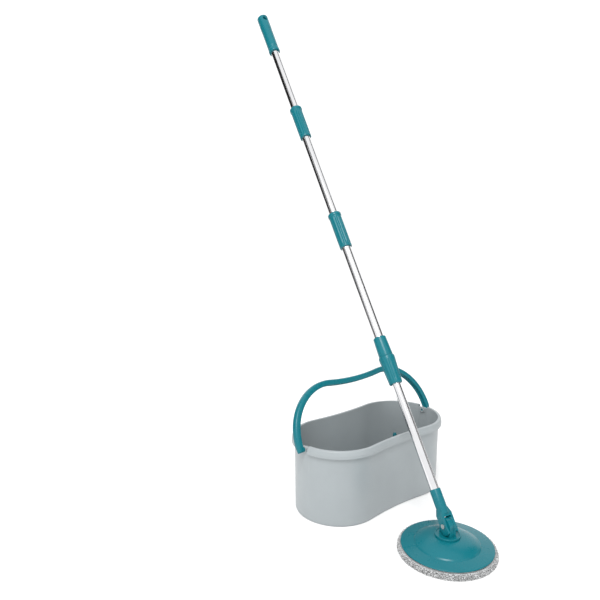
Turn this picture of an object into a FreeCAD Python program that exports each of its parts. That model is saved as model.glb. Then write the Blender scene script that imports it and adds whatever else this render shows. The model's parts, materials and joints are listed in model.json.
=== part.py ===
"""Spin mop with its figure-eight bucket, as separate pieces in one frame.

The origin is on the floor under the middle of the bucket. +X runs along the bucket's long axis towards
the lobe that holds the spindle, +Y runs to the back, +Z is up. The mop stands on the floor in front of
the bucket with its handle leaning back over it. Pieces of the mop head are drawn in the head's own
frame, whose origin is on the floor under the plate. Pieces of the handle are drawn in the handle's
frame, whose origin is the tilt hinge and whose +Z runs up the handle.
"""
import FreeCAD, Part
import math
import os

import Sketcher
from FreeCAD import Placement, Rotation, Vector

doc = FreeCAD.newDocument("SpinMop")

SIZES = [
    # bucket
    ("bucket_height", 176.0), ("lobe_centre", 101.0), ("wall_radius", 98.0), ("neck_radius", 688.0),
    ("wall_thickness", 2.4), ("wall_draft", 0.7), ("foot_round", 5.0), ("lip_radius", 107.0),
    ("lip_neck_radius", 679.0), ("lip_height", 17.0), ("notch_half", 15.0),
    ("notch_floor", 171.0), ("recess_floor", 156.0), ("recess_depth", 204.0),
    # bail
    ("bail_pivot_height", 165.5), ("bail_arc_centre", 95.5), ("bail_arc_rise", 8.0),
    ("bail_arc_radius", 119.0), ("bail_crown_radius", 600.0), ("bail_half_width", 8.0),
    ("bail_half_depth", 7.0), ("bail_gap", 4.0), ("stub_end", 194.5), ("stub_length", 11.5),
    ("bail_lean", 26.0), ("bail_pin_radius", 3.0), ("bail_eye_radius", 6.0),
    # spindle
    ("spindle_x", 92.0),
    ("floor_boss_radius", 32.0), ("floor_boss_height", 8.0), ("spindle_flange", 30.0),
    ("spindle_foot", 16.0), ("spindle_neck", 10.0), ("spindle_shoulder", 98.0),
    ("spindle_seat", 105.0), ("spindle_top", 129.0), ("tip_radius", 5.0), ("screw_circle", 24.0),
    # mop head
    ("head_x", -58.0), ("head_y", -279.0), ("head_turn", -9.6), ("plate_radius", 93.0),
    ("plate_edge", 14.2), ("plate_skin", 2.4), ("step_radius", 64.0), ("dome_foot", 23.0),
    ("seat_radius", 28.0), ("seat_height", 35.5), ("dome_radius", 83.0), ("boss_circle", 76.0),
    ("base_radius", 90.0), ("base_under", 11.6), ("base_top", 13.9), ("base_bore", 23.6),
    ("hook_inner", 60.0), ("pad_radius", 99.0), ("pad_bore", 38.0),
    ("pad_top", 9.4), ("backing_top", 10.8), ("cup_radius", 12.0), ("bearing_radius", 19.0),
    ("cup_bore", 5.3), ("hub_screw_circle", 18.0), ("hub_radius", 26.0), ("hub_top", 39.0),
    ("hinge_height", 58.0),
    ("knuckle_radius", 15.5), ("knuckle_width", 16.4), ("hinge_radius", 3.0),
    # handle, along its own axis from the hinge
    ("lean", 35.3), ("ear_radius", 18.0), ("fork_width", 26.0), ("fork_half_width", 13.0),
    ("fork_half_depth", 9.6), ("ear_low", 15.2), ("fork_half_gap", 8.5), ("neck_half", 8.5),
    ("gap_top", 16.5), ("shoulder_top", 22.0), ("neck_bottom", 34.0),
    ("socket_radius", 11.4), ("socket_top", 72.0), ("tube_stop", 40.0), ("lower_tube_radius", 9.5),
    ("tube_wall", 0.7), ("lower_tube_top", 458.0), ("clutch_radius", 9.9), ("nut_radius", 6.8),
    ("nut_floor", 462.0), ("nut_height", 12.0), ("ring_bottom", 476.0), ("ring_top", 482.0),
    ("cap_top", 488.0), ("rod_width", 8.0), ("rod_thick", 2.4), ("rod_lead", 80.0),
    ("rod_room", 4.6), ("slot_half_length", 4.4), ("slot_half_width", 1.75),
    ("plug_pin_height", 658.0), ("plug_pin_radius", 1.2), ("rod_bottom", 428.0), ("rod_top", 664.0),
    ("upper_tube_radius", 11.0), ("tube3_bottom", 340.0),
    ("tube3_top", 697.0), ("tube2_bottom", 703.0), ("tube2_top", 1033.0), ("tube1_bottom", 1039.0),
    ("tube1_top", 1375.0), ("lock_bottom", 303.0), ("lock_seam", 367.5), ("lock_top", 414.0),
    ("lock_ring_radius", 18.2), ("lock_sleeve_radius", 16.2), ("lock_neck_radius", 13.0),
    ("coupling2_bottom", 652.5), ("coupling2_top", 748.0), ("coupling1_bottom", 987.0),
    ("coupling1_top", 1084.0), ("coupling_radius", 15.0), ("grip_bottom", 1289.0),
    ("grip_top", 1424.0), ("grip_radius", 15.4), ("hang_hole_height", 1409.0),
    ("hang_hole_radius", 5.5),
]

sheet = doc.addObject("Spreadsheet::Sheet", "dims")
for row, (alias, value) in enumerate(SIZES, start=1):
    sheet.set("A%d" % row, alias)
    sheet.set("B%d" % row, str(value))
    sheet.setAlias("B%d" % row, alias)
doc.recompute()

NODES = []


def number(text):
    """Value of a sum such as "plate_radius - 2", read from the sheet."""
    total = 0.0
    sign = 1.0
    for word in text.split():
        if word in ("+", "-"):
            sign = 1.0 if word == "+" else -1.0
        elif word[0].isalpha():
            total += sign * getattr(sheet, word)
        else:
            total += sign * float(word)
    return total


def bound(text):
    """The same sum as an expression on the sheet's cells."""
    return " ".join("dims." + word if word[0].isalpha() else word for word in text.split())


ACROSS = Vector(1, 0, 0)
UP = Vector(0, 0, 1)
HEAD = Placement(Vector(number("head_x"), number("head_y"), 0), Rotation(UP, number("head_turn")))
HEAD_BELOW = HEAD * Placement(Vector(), Rotation(ACROSS, 180))
HANDLE = HEAD * Placement(Vector(0, 0, number("hinge_height")), Rotation(ACROSS, -number("lean")))
BAIL = Placement(Vector(0, 0, number("bail_pivot_height")), Rotation(ACROSS, -number("bail_lean")))
SPINDLE = Placement(Vector(number("spindle_x"), 0, 0), Rotation())


def new_body(label, place=None):
    """An empty body that stands for one piece of the mop."""
    body = doc.addObject("PartDesign::Body", label)
    body.Label = label
    if place is not None:
        body.Placement = place
    NODES.append(body)
    return body


def new_sketch(body, name, plane, lift="0"):
    """A sketch on one of the body's own origin planes, raised by the length that lift gives."""
    support = [item for item in body.Origin.OriginFeatures if item.Role == plane][0]
    drawing = body.newObject("Sketcher::SketchObject", body.Name + "_" + name)
    drawing.AttachmentSupport = (support, [""])
    drawing.MapMode = "FlatFace"
    if lift != "0":
        drawing.setExpression("AttachmentOffset.Base.z", bound(lift))
    return drawing


def pin_point(drawing, shape, end, across, up):
    """Tie one end of a line or an arc to the sheet, measured from the sketch's origin."""
    for kind, text, axis in (("DistanceX", across, -2), ("DistanceY", up, -1)):
        if text == "0":
            drawing.addConstraint(Sketcher.Constraint("PointOnObject", shape, end, axis))
        else:
            index = drawing.addConstraint(Sketcher.Constraint(kind, -1, 1, shape, end, number(text)))
            drawing.setExpression("Constraints[%d]" % index, bound(text))


def arc_between(first, last, radius):
    """The arc from first to last; a positive radius bulges to the right of the way there."""
    chord = last - first
    middle = (first + last) * 0.5
    side = Vector(chord.y, -chord.x, 0).normalize()
    reach = math.sqrt(radius * radius - chord.Length * chord.Length / 4)
    centre = middle - side * reach * (1 if radius > 0 else -1)
    ends = (first, last) if radius > 0 else (last, first)
    angles = [math.atan2(point.y - centre.y, point.x - centre.x) for point in ends]
    return Part.ArcOfCircle(Part.Circle(centre, Vector(0, 0, 1), abs(radius)), angles[0], angles[1])


def draw_outline(drawing, corners):
    """A closed outline. Each corner is (across, up), or (across, up, radius) where an arc leaves it."""
    places = [Vector(number(corner[0]), number(corner[1]), 0) for corner in corners]
    starts = []
    for index, corner in enumerate(corners):
        first = places[index]
        last = places[(index + 1) % len(corners)]
        if len(corner) == 2:
            shape = drawing.addGeometry(Part.LineSegment(first, last), False)
            starts.append((shape, 1, 2))
        else:
            inward = corner[2].startswith("-")
            radius = number(corner[2].lstrip("-"))
            shape = drawing.addGeometry(arc_between(first, last, -radius if inward else radius), False)
            starts.append((shape, 2, 1) if inward else (shape, 1, 2))
    for index, corner in enumerate(corners):
        shape, start, end = starts[index]
        next_shape, next_start, _ = starts[(index + 1) % len(corners)]
        drawing.addConstraint(Sketcher.Constraint("Coincident", shape, end, next_shape, next_start))
        pin_point(drawing, shape, start, corner[0], corner[1])
        if len(corner) == 3:
            radius = corner[2].lstrip("-")
            tie = drawing.addConstraint(Sketcher.Constraint("Radius", shape, number(radius)))
            drawing.setExpression("Constraints[%d]" % tie, bound(radius))


def draw_circle(drawing, across, up, radius):
    """A full circle with its centre and its radius tied to the sheet."""
    centre = Vector(number(across), number(up), 0)
    shape = drawing.addGeometry(Part.Circle(centre, Vector(0, 0, 1), number(radius)), False)
    pin_point(drawing, shape, 3, across, up)
    tie = drawing.addConstraint(Sketcher.Constraint("Radius", shape, number(radius)))
    drawing.setExpression("Constraints[%d]" % tie, bound(radius))


def draw_box(drawing, left, right, low, high):
    """A rectangle with its four sides tied to the sheet."""
    draw_outline(drawing, [(left, low), (right, low), (right, high), (left, high)])


def draw_figure_eight(drawing, lobe, waist):
    """Two round lobes on the long axis, joined by two hollow arcs that touch them smoothly."""
    centre = number("lobe_centre")
    big = number(lobe)
    hollow = number(waist)
    touch_x = centre * hollow / (big + hollow)
    touch_rule = "dims.lobe_centre * (%s) / (%s + %s)" % (bound(waist), bound(lobe), bound(waist))
    rise = math.sqrt((big + hollow) ** 2 - centre ** 2)
    open_angle = math.atan2(rise, -centre)
    half_waist = open_angle - math.pi / 2
    up = Vector(0, 0, 1)
    arcs = []
    for turn in (0, math.pi):
        middle = Vector(centre * math.cos(turn), 0, 0)
        arc = Part.ArcOfCircle(Part.Circle(middle, up, big), turn - open_angle, turn + open_angle)
        arcs.append(drawing.addGeometry(arc, False))
    for turn in (math.pi / 2, -math.pi / 2):
        middle = Vector(0, rise * math.sin(turn), 0)
        facing = turn + math.pi
        arc = Part.ArcOfCircle(Part.Circle(middle, up, hollow), facing - half_waist, facing + half_waist)
        arcs.append(drawing.addGeometry(arc, False))
    right, left, back, front = arcs
    for first, first_end, second, second_end in (
        (right, 2, back, 2), (back, 1, left, 1), (left, 2, front, 2), (front, 1, right, 1),
    ):
        drawing.addConstraint(Sketcher.Constraint("Coincident", first, first_end, second, second_end))
    for arc, sign, factor in ((right, "", 1), (left, "- ", -1)):
        pin_point(drawing, arc, 3, sign + "lobe_centre", "0")
        for end in (1, 2):
            tie = drawing.addConstraint(Sketcher.Constraint("DistanceX", -1, 1, arc, end, factor * touch_x))
            drawing.setExpression("Constraints[%d]" % tie, sign + touch_rule)
    for arc, text in ((right, lobe), (left, lobe), (back, waist), (front, waist)):
        tie = drawing.addConstraint(Sketcher.Constraint("Radius", arc, number(text)))
        drawing.setExpression("Constraints[%d]" % tie, bound(text))


def feature(body, kind, name, drawing, length=None, both_sides=False, reverse=False):
    """A pad or a pocket of the given sketch; a pocket with no length goes right through."""
    item = body.newObject("PartDesign::" + kind, body.Name + "_" + name)
    item.Profile = drawing
    item.Reversed = reverse
    if both_sides:
        item.Midplane = True
    if length is None:
        item.Type = "ThroughAll"
    else:
        item.setExpression("Length", bound(length))
    return item


def turned(label, corners, place=None):
    """A piece turned about its frame's Z axis; corners are (radius, height) pairs."""
    body = new_body(label, place)
    drawing = new_sketch(body, "profile", "XZ_Plane")
    draw_outline(drawing, corners)
    spin = body.newObject("PartDesign::Revolution", label + "_turn")
    spin.Profile = drawing
    spin.ReferenceAxis = (drawing, ["V_Axis"])
    spin.Angle = 360
    return body


def cross_hole(body, name, up, radius, plane="XZ_Plane"):
    """A round hole right through the piece, square to its axis."""
    drawing = new_sketch(body, name, plane)
    draw_circle(drawing, "0", up, radius)
    return feature(body, "Pocket", name + "_cut", drawing, both_sides=True)


def ring_of_circles(body, name, kind, circle, radius, length, lift, count, reverse=False):
    """Equal round pads or pockets, spaced evenly about the piece's axis."""
    drawing = new_sketch(body, name, "XY_Plane", lift)
    draw_circle(drawing, circle, "0", radius)
    first = feature(body, kind, name + "_one", drawing, length, reverse=reverse)
    pattern = body.newObject("PartDesign::PolarPattern", body.Name + "_" + name + "_all")
    pattern.Originals = [first]
    pattern.Axis = (drawing, ["N_Axis"])
    pattern.Angle = 360
    pattern.Occurrences = count
    body.Tip = pattern
    return pattern


def round_edges(body, name, radius, wanted):
    """Round the edges of the piece for which wanted(edge) is true."""
    doc.recompute()
    base = body.Tip
    names = ["Edge%d" % (i + 1) for i, edge in enumerate(base.Shape.Edges) if wanted(edge)]
    item = body.newObject("PartDesign::Fillet", body.Name + "_" + name)
    item.Base = (base, names)
    item.setExpression("Radius", bound(radius))
    return item


def at_height(height):
    """A test for edges that lie flat at the given height."""
    def test(edge):
        return abs(edge.BoundBox.ZMin - height) < 0.01 and abs(edge.BoundBox.ZMax - height) < 0.01
    return test


# ---------------------------------------------------------------- bucket

def make_bucket():
    """Grey shell: tapered wall, turned-down lip, notches for the bail and a boss for the spindle."""
    body = new_body("bucket_shell")
    lip = new_sketch(body, "lip", "XY_Plane", "bucket_height - lip_height")
    draw_figure_eight(lip, "lip_radius", "lip_neck_radius")
    feature(body, "Pad", "lip_pad", lip, "lip_height")
    under = new_sketch(body, "under_lip", "XY_Plane", "bucket_height - lip_height")
    draw_figure_eight(under, "lip_radius - wall_thickness", "lip_neck_radius + wall_thickness")
    feature(body, "Pocket", "under_lip_cut", under, "lip_height - wall_thickness", reverse=True)

    wall = new_sketch(body, "wall", "XY_Plane")
    draw_figure_eight(wall, "wall_radius", "neck_radius")
    pad = feature(body, "Pad", "wall_pad", wall, "bucket_height")
    pad.setExpression("TaperAngle", bound("wall_draft"))
    round_edges(body, "foot", "foot_round", at_height(0))
    room = new_sketch(body, "room", "XY_Plane", "wall_thickness")
    draw_figure_eight(room, "wall_radius - wall_thickness", "neck_radius + wall_thickness")
    hollow = feature(body, "Pocket", "room_cut", room, reverse=True)
    hollow.setExpression("TaperAngle", bound("wall_draft"))
    round_edges(body, "floor_edge", "wall_thickness", at_height(number("wall_thickness")))
    add_bail_seats(body)

    boss = new_sketch(body, "floor_boss", "XY_Plane", "wall_thickness - 1")
    draw_circle(boss, "spindle_x", "0", "floor_boss_radius")
    feature(body, "Pad", "floor_boss_pad", boss, "floor_boss_height - wall_thickness + 1")
    holes = new_sketch(body, "screw_holes", "XY_Plane", "floor_boss_height")
    for turn in range(3):
        angle = math.radians(120 * turn)
        where = Vector(number("spindle_x") + number("screw_circle") * math.cos(angle),
                       number("screw_circle") * math.sin(angle), 0)
        holes.addGeometry(Part.Circle(where, Vector(0, 0, 1), 2.05), False)
    feature(body, "Pocket", "screw_holes_cut", holes, "floor_boss_height - wall_thickness - 1")
    return body


def add_bail_seats(body):
    """A boss, a flat recess, a rim notch and a pivot hole at each end of the long axis."""
    for side, sign in (("near", "- "), ("far", "")):
        wall_end = sign + "wall_radius " + (sign or "+ ") + "lobe_centre"
        boss = new_sketch(body, side + "_boss", "YZ_Plane", wall_end)
        draw_circle(boss, "0", "bail_pivot_height", "bail_eye_radius + 2")
        feature(body, "Pad", side + "_boss_pad", boss, "recess_depth - wall_radius - lobe_centre",
                reverse=sign == "- ")
        recess = new_sketch(body, side + "_recess", "YZ_Plane", sign + "recess_depth")
        draw_box(recess, "- notch_half", "notch_half", "recess_floor", "bucket_height + 1")
        feature(body, "Pocket", side + "_recess_cut", recess, "lip_radius", reverse=sign == "")
    notch = new_sketch(body, "rim_notch", "YZ_Plane")
    draw_box(notch, "- notch_half", "notch_half", "notch_floor", "bucket_height + 1")
    feature(body, "Pocket", "rim_notch_cut", notch, both_sides=True)
    cross_hole(body, "pivot_holes", "bail_pivot_height", "bail_pin_radius + 0.06", "YZ_Plane")


make_bucket()


# ---------------------------------------------------------------- bail

def make_bail():
    """Teal bail in one plane: two legs, two round shoulders and a slightly dipped crown."""
    body = new_body("bail_handle", BAIL)
    centre = number("bail_arc_centre")
    rise = number("bail_arc_rise")
    near = number("bail_arc_radius")
    hollow = number("bail_crown_radius")
    crown = rise + math.sqrt((near + hollow) ** 2 - centre ** 2)
    touch = math.atan2(crown - rise, -centre)
    route = new_sketch(body, "route", "XZ_Plane")
    up = Vector(0, 0, 1)
    leg = Part.LineSegment(Vector(centre + near, 0, 0), Vector(centre + near, rise, 0))
    right = Part.ArcOfCircle(Part.Circle(Vector(centre, rise, 0), up, near), 0, touch)
    dip = math.atan2(rise - crown, centre)
    middle = Part.ArcOfCircle(Part.Circle(Vector(0, crown, 0), up, hollow), -math.pi - dip, dip)
    left = Part.ArcOfCircle(Part.Circle(Vector(-centre, rise, 0), up, near), math.pi - touch, math.pi)
    other = Part.LineSegment(Vector(-centre - near, rise, 0), Vector(-centre - near, 0, 0))
    shapes = [route.addGeometry(shape, False) for shape in (leg, right, middle, left, other)]
    joins = ((0, 2, 1, 1), (1, 2, 2, 2), (2, 1, 3, 1), (3, 2, 4, 1))
    for first, first_end, second, second_end in joins:
        ends = (shapes[first], first_end, shapes[second], second_end)
        route.addConstraint(Sketcher.Constraint("Tangent", *ends))
    pin_point(route, shapes[1], 3, "bail_arc_centre", "bail_arc_rise")
    pin_point(route, shapes[3], 3, "- bail_arc_centre", "bail_arc_rise")
    for shape, text in ((1, "bail_arc_radius"), (2, "bail_crown_radius"), (3, "bail_arc_radius")):
        tie = route.addConstraint(Sketcher.Constraint("Radius", shapes[shape], number(text)))
        route.setExpression("Constraints[%d]" % tie, bound(text))
    for shape, end in ((0, 1), (4, 2)):
        route.addConstraint(Sketcher.Constraint("PointOnObject", shapes[shape], end, -1))
        route.addConstraint(Sketcher.Constraint("Vertical", shapes[shape]))
    section = new_sketch(body, "section", "XY_Plane")
    draw_box(section, "bail_arc_centre + bail_arc_radius - bail_half_depth",
             "bail_arc_centre + bail_arc_radius + bail_half_depth", "- bail_half_width", "bail_half_width")
    pipe = body.newObject("PartDesign::AdditivePipe", "bail_handle_pipe")
    pipe.Profile = section
    pipe.Spine = (route, [])
    pipe.Transition = "Transformed"
    eyes = new_sketch(body, "eyes", "YZ_Plane", "bail_arc_centre + bail_arc_radius - bail_half_depth")
    draw_circle(eyes, "0", "0", "bail_eye_radius")
    feature(body, "Pad", "eye_far", eyes, "bail_half_depth + bail_half_depth")
    eyes = new_sketch(body, "eyes_near", "YZ_Plane", "- bail_arc_centre - bail_arc_radius - bail_half_depth")
    draw_circle(eyes, "0", "0", "bail_eye_radius")
    feature(body, "Pad", "eye_near", eyes, "bail_half_depth + bail_half_depth")
    for side, sign in (("near", "- "), ("far", "")):
        hub = new_sketch(body, side + "_hub", "YZ_Plane", sign + "recess_depth " + (sign or "+ ") + "0.3")
        draw_circle(hub, "0", "0", "bail_eye_radius")
        feature(body, "Pad", side + "_hub_pad", hub, "bail_gap", reverse=sign == "- ")
        stub = new_sketch(body, side + "_stub", "YZ_Plane", sign + "stub_end")
        draw_circle(stub, "0", "0", "bail_pin_radius")
        feature(body, "Pad", side + "_stub_pad", stub, "stub_length", reverse=sign == "- ")
    return body


make_bail()


def make_bail_caps():
    """Two snap caps on the ends of the bail's pivot stubs, inside the bucket's wall."""
    body = new_body("bail_caps", BAIL)
    for side, sign in (("near", "- "), ("far", "")):
        cap = new_sketch(body, side, "YZ_Plane", sign + "stub_end " + (sign or "+ ") + "1.5")
        draw_circle(cap, "0", "0", "bail_eye_radius - 0.5")
        draw_circle(cap, "0", "0", "bail_pin_radius + 0.05")
        feature(body, "Pad", side + "_pad", cap, "2", reverse=sign == "")


make_bail_caps()

# ---------------------------------------------------------------- spindle in the far lobe

base = turned("spindle_base", [
    ("tip_radius + 0.05", "floor_boss_height + 0.1"), ("spindle_flange", "floor_boss_height + 0.1"),
    ("spindle_flange", "floor_boss_height + 3"), ("spindle_foot + 3", "floor_boss_height + 3"),
    ("spindle_foot", "floor_boss_height + 7"), ("spindle_neck", "spindle_shoulder"),
    ("tip_radius + 0.05", "spindle_shoulder"),
], SPINDLE)
ring_of_circles(base, "holes", "Pocket", "screw_circle", "2.1", "6", "floor_boss_height - 1", 3, reverse=True)
turned("spindle_collar", [
    ("tip_radius + 0.1", "spindle_shoulder + 0.05"), ("spindle_neck + 1.5", "spindle_shoulder + 0.05"),
    ("spindle_neck + 1.5", "spindle_shoulder + 3"), ("tip_radius + 2.5", "spindle_seat"),
    ("tip_radius + 0.1", "spindle_seat"),
], SPINDLE)
turned("spindle_tip", [
    ("0", "floor_boss_height + 0.2"), ("tip_radius", "floor_boss_height + 0.2"),
    ("tip_radius", "spindle_top - 4"), ("tip_radius - 1.5", "spindle_top - 1"),
    ("tip_radius - 3", "spindle_top"), ("0", "spindle_top"),
], SPINDLE)


def make_screws(label, place, circle, count, seat, length, shank, head, head_height):
    """A ring of equal screws that share one node. Each shank hangs down from the seat of its head."""
    body = new_body(label, place)
    ring_of_circles(body, "shank", "Pad", circle, shank, length, seat, count, reverse=True)
    ring_of_circles(body, "head", "Pad", circle, head, head_height, seat, count)


make_screws("spindle_screws", SPINDLE, "screw_circle", 3, "floor_boss_height + 3.05",
            "6.8", "2", "3.6", "2.2")

# ---------------------------------------------------------------- mop head

plate = turned("mop_plate", [
    ("0", "seat_height - plate_skin"), ("seat_radius", "seat_height - plate_skin"),
    ("step_radius - 2.5", "dome_foot - plate_skin"), ("step_radius - 0.5", "dome_foot - 5"),
    ("plate_radius - 2.4", "plate_edge + 1.2"), ("plate_radius - 2.4", "plate_edge"),
    ("plate_radius", "plate_edge"), ("plate_radius", "plate_edge + 2.4"),
    ("plate_radius - 1.4", "plate_edge + 3.6"),
    ("step_radius + 1.5", "dome_foot - 2.2"), ("step_radius", "dome_foot"),
    ("step_radius - 2", "dome_foot + 0.6", "dome_radius"),
    ("seat_radius", "seat_height"), ("0", "seat_height"),
], HEAD)
ring_of_circles(plate, "bosses", "Pad", "boss_circle", "3.6", "5", "base_top + 0.1", 6)
ring_of_circles(plate, "boss_holes", "Pocket", "boss_circle", "1.55", "3.6", "base_top", 6, reverse=True)
ring_of_circles(plate, "hub_holes", "Pocket", "hub_screw_circle", "2.1", "6", "seat_height - 4", 4,
                reverse=True)

disc = turned("base_plate", [
    ("base_bore", "base_under"), ("base_radius", "base_under"), ("base_radius", "base_top"),
    ("base_bore", "base_top"),
], HEAD)
ring_of_circles(disc, "holes", "Pocket", "boss_circle", "1.7", "4", "base_under - 1", 6, reverse=True)
make_screws("base_screws", HEAD_BELOW, "boss_circle", 6, "- base_under", "3.2", "1.5", "3", "0.8")
turned("hook_ring", [
    ("hook_inner", "backing_top + 0.05"), ("boss_circle - 4", "backing_top + 0.05"),
    ("boss_circle - 4", "base_under - 0.05"), ("hook_inner", "base_under - 0.05"),
], HEAD)
turned("pad_backing", [
    ("pad_bore + 2", "pad_top + 0.1"), ("plate_radius", "pad_top + 0.1"),
    ("plate_radius", "backing_top - 0.05"), ("pad_bore + 2", "backing_top - 0.05"),
], HEAD)
turned("microfibre_pad", [
    ("pad_bore", "1.5"), ("pad_bore + 2", "0"), ("pad_radius - 4", "0"), ("pad_radius - 1", "2.5"),
    ("pad_radius", "6.5"), ("pad_radius - 1.2", "11"), ("pad_radius - 3.5", "13"),
    ("plate_radius + 0.6", "12.6"), ("plate_radius + 0.4", "pad_top"), ("pad_bore", "pad_top"),
], HEAD)
turned("bearing_insert", [
    ("cup_radius + 0.05", "4.5"), ("bearing_radius - 3", "4.5"), ("bearing_radius", "7"),
    ("bearing_radius", "9.6"), ("base_bore + 3", "9.6"), ("base_bore + 3", "base_under - 0.05"),
    ("bearing_radius", "base_under - 0.05"), ("bearing_radius - 2", "28"), ("cup_radius + 0.05", "28"),
], HEAD)
turned("retaining_ring", [
    ("bearing_radius + 0.2", "6.5"), ("pad_bore - 4", "6.5"), ("pad_bore - 2", "8.5"),
    ("pad_bore - 2", "base_under - 0.05"), ("base_bore + 3.2", "base_under - 0.05"),
    ("base_bore + 3.2", "9.5"), ("bearing_radius + 0.2", "9.5"),
], HEAD)
turned("socket_cup", [
    ("0", "27.5"), ("cup_bore", "27.5"), ("cup_bore", "6.5"), ("cup_bore + 2.5", "4"),
    ("cup_radius", "4"), ("cup_radius", "28.2"), ("cup_radius + 3", "28.2"), ("cup_radius + 3", "30.2"),
    ("0", "30.2"),
], HEAD)


def make_hub():
    """Round flange on the plate with an upright knuckle that carries the tilt hinge."""
    hub = turned("hub", [
        ("0", "seat_height + 0.05"), ("hub_radius", "seat_height + 0.05"), ("hub_radius", "hub_top + 1"),
        ("hub_radius - 1", "hub_top + 1.6"), ("hub_radius - 3", "hub_top + 1.6"),
        ("hub_radius - 3.5", "hub_top"), ("0", "hub_top"),
    ], HEAD)
    side = new_sketch(hub, "knuckle", "YZ_Plane")
    draw_outline(side, [
        ("- knuckle_radius", "hub_top - 1"), ("knuckle_radius", "hub_top - 1"),
        ("knuckle_radius", "hinge_height", "knuckle_radius + 0.001"), ("- knuckle_radius", "hinge_height"),
    ])
    feature(hub, "Pad", "knuckle_pad", side, "knuckle_width", both_sides=True)
    cross_hole(hub, "hinge_hole", "hinge_height", "hinge_radius + 0.05", "YZ_Plane")
    ring_of_circles(hub, "holes", "Pocket", "hub_screw_circle", "1.9", "3", "seat_height - 0.5", 4,
                    reverse=True)


make_hub()
make_screws("hub_screws", HEAD_BELOW, "hub_screw_circle", 4, "- seat_height + plate_skin + 0.05",
            "plate_skin + 2.4", "1.8", "3.4", "1.8")

# ---------------------------------------------------------------- handle


def make_yoke():
    """Fork that straddles the knuckle, with a round socket for the lower tube."""
    body = new_body("yoke", HANDLE)
    side = new_sketch(body, "side", "YZ_Plane")
    draw_outline(side, [
        ("- fork_half_depth", "- ear_low", "ear_radius"), ("fork_half_depth", "- ear_low"),
        ("fork_half_depth", "shoulder_top"), ("- fork_half_depth", "shoulder_top"),
    ])
    feature(body, "Pad", "fork", side, "fork_width", both_sides=True)
    low = new_sketch(body, "shoulder_low", "XY_Plane", "shoulder_top")
    draw_box(low, "- fork_half_width", "fork_half_width", "- fork_half_depth", "fork_half_depth")
    high = new_sketch(body, "shoulder_high", "XY_Plane", "neck_bottom")
    draw_box(high, "- neck_half", "neck_half", "- neck_half", "neck_half")
    loft = body.newObject("PartDesign::AdditiveLoft", "yoke_shoulder")
    loft.Profile = low
    loft.Sections = [high]
    loft.Ruled = True
    socket = new_sketch(body, "socket", "XY_Plane", "shoulder_top")
    draw_circle(socket, "0", "0", "socket_radius")
    feature(body, "Pad", "socket_pad", socket, "socket_top - shoulder_top")
    gap = new_sketch(body, "gap", "XZ_Plane")
    draw_box(gap, "- fork_half_gap", "fork_half_gap", "- ear_radius - 1", "gap_top")
    feature(body, "Pocket", "gap_cut", gap, both_sides=True)
    bore = new_sketch(body, "bore", "XY_Plane", "socket_top")
    draw_circle(bore, "0", "0", "lower_tube_radius + 0.05")
    feature(body, "Pocket", "bore_cut", bore, "socket_top - tube_stop")
    cross_hole(body, "pin_hole", "0", "hinge_radius + 0.02", "YZ_Plane")


make_yoke()
pin = new_body("hinge_pin", HANDLE)
rod = new_sketch(pin, "shank", "YZ_Plane")
draw_circle(rod, "0", "0", "hinge_radius")
feature(pin, "Pad", "shank_pad", rod, "fork_width + 1", both_sides=True)
head = new_sketch(pin, "head", "YZ_Plane", "- fork_half_width - 0.1")
draw_circle(head, "0", "0", "hinge_radius + 1.6")
feature(pin, "Pad", "head_pad", head, "1.6", reverse=True)
clip = new_body("pin_clip", HANDLE)
ring = new_sketch(clip, "ring", "YZ_Plane", "fork_half_width + 0.1")
draw_circle(ring, "0", "0", "hinge_radius + 1.6")
feature(clip, "Pad", "ring_pad", ring, "1.4")
inner = new_sketch(clip, "bore", "YZ_Plane")
draw_circle(inner, "0", "0", "hinge_radius + 0.02")
feature(clip, "Pocket", "bore_cut", inner, "fork_half_width + 1", reverse=True)


def tube(label, low, high, radius):
    """A thin chromed tube from one height of the handle to another."""
    turned(label, [
        (radius + " - tube_wall", low), (radius, low), (radius, high), (radius + " - tube_wall", high),
    ], HANDLE)


tube("lower_tube", "tube_stop + 0.1", "lower_tube_top", "lower_tube_radius")
tube("tube_3", "tube3_bottom", "tube3_top", "upper_tube_radius")
tube("tube_2", "tube2_bottom", "tube2_top", "upper_tube_radius")
tube("tube_1", "tube1_bottom", "tube1_top", "upper_tube_radius")

turned("clutch_housing", [
    ("rod_room", "lower_tube_top - 22"), ("lower_tube_radius - 0.8", "lower_tube_top - 22"),
    ("lower_tube_radius - 0.8", "lower_tube_top + 0.05"), ("clutch_radius", "lower_tube_top + 0.05"),
    ("clutch_radius", "ring_bottom - 0.1"), ("clutch_radius - 1.2", "ring_bottom - 0.1"),
    ("clutch_radius - 1.2", "ring_top + 0.1"), ("nut_radius + 0.1", "ring_top + 0.1"),
    ("nut_radius + 0.1", "nut_floor"), ("rod_room", "nut_floor"),
], HANDLE)
turned("clutch_cap", [
    ("rod_room", "ring_bottom - 1"), ("nut_radius", "ring_bottom - 1"), ("nut_radius", "ring_top + 0.15"),
    ("clutch_radius", "ring_top + 0.15"), ("clutch_radius", "cap_top"), ("rod_room", "cap_top"),
], HANDLE)
nut = turned("drive_nut", [
    ("0", "nut_floor + 0.1"), ("nut_radius", "nut_floor + 0.1"), ("nut_radius", "nut_floor + nut_height"),
    ("rod_room", "nut_floor + nut_height"), ("rod_room", "nut_floor + 2.1"), ("0", "nut_floor + 2.1"),
], HANDLE)
slot = new_sketch(nut, "slot", "XY_Plane", "nut_floor - 1")
draw_box(slot, "- slot_half_length", "slot_half_length", "- slot_half_width", "slot_half_width")
feature(nut, "Pocket", "slot_cut", slot, "5", reverse=True)
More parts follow.
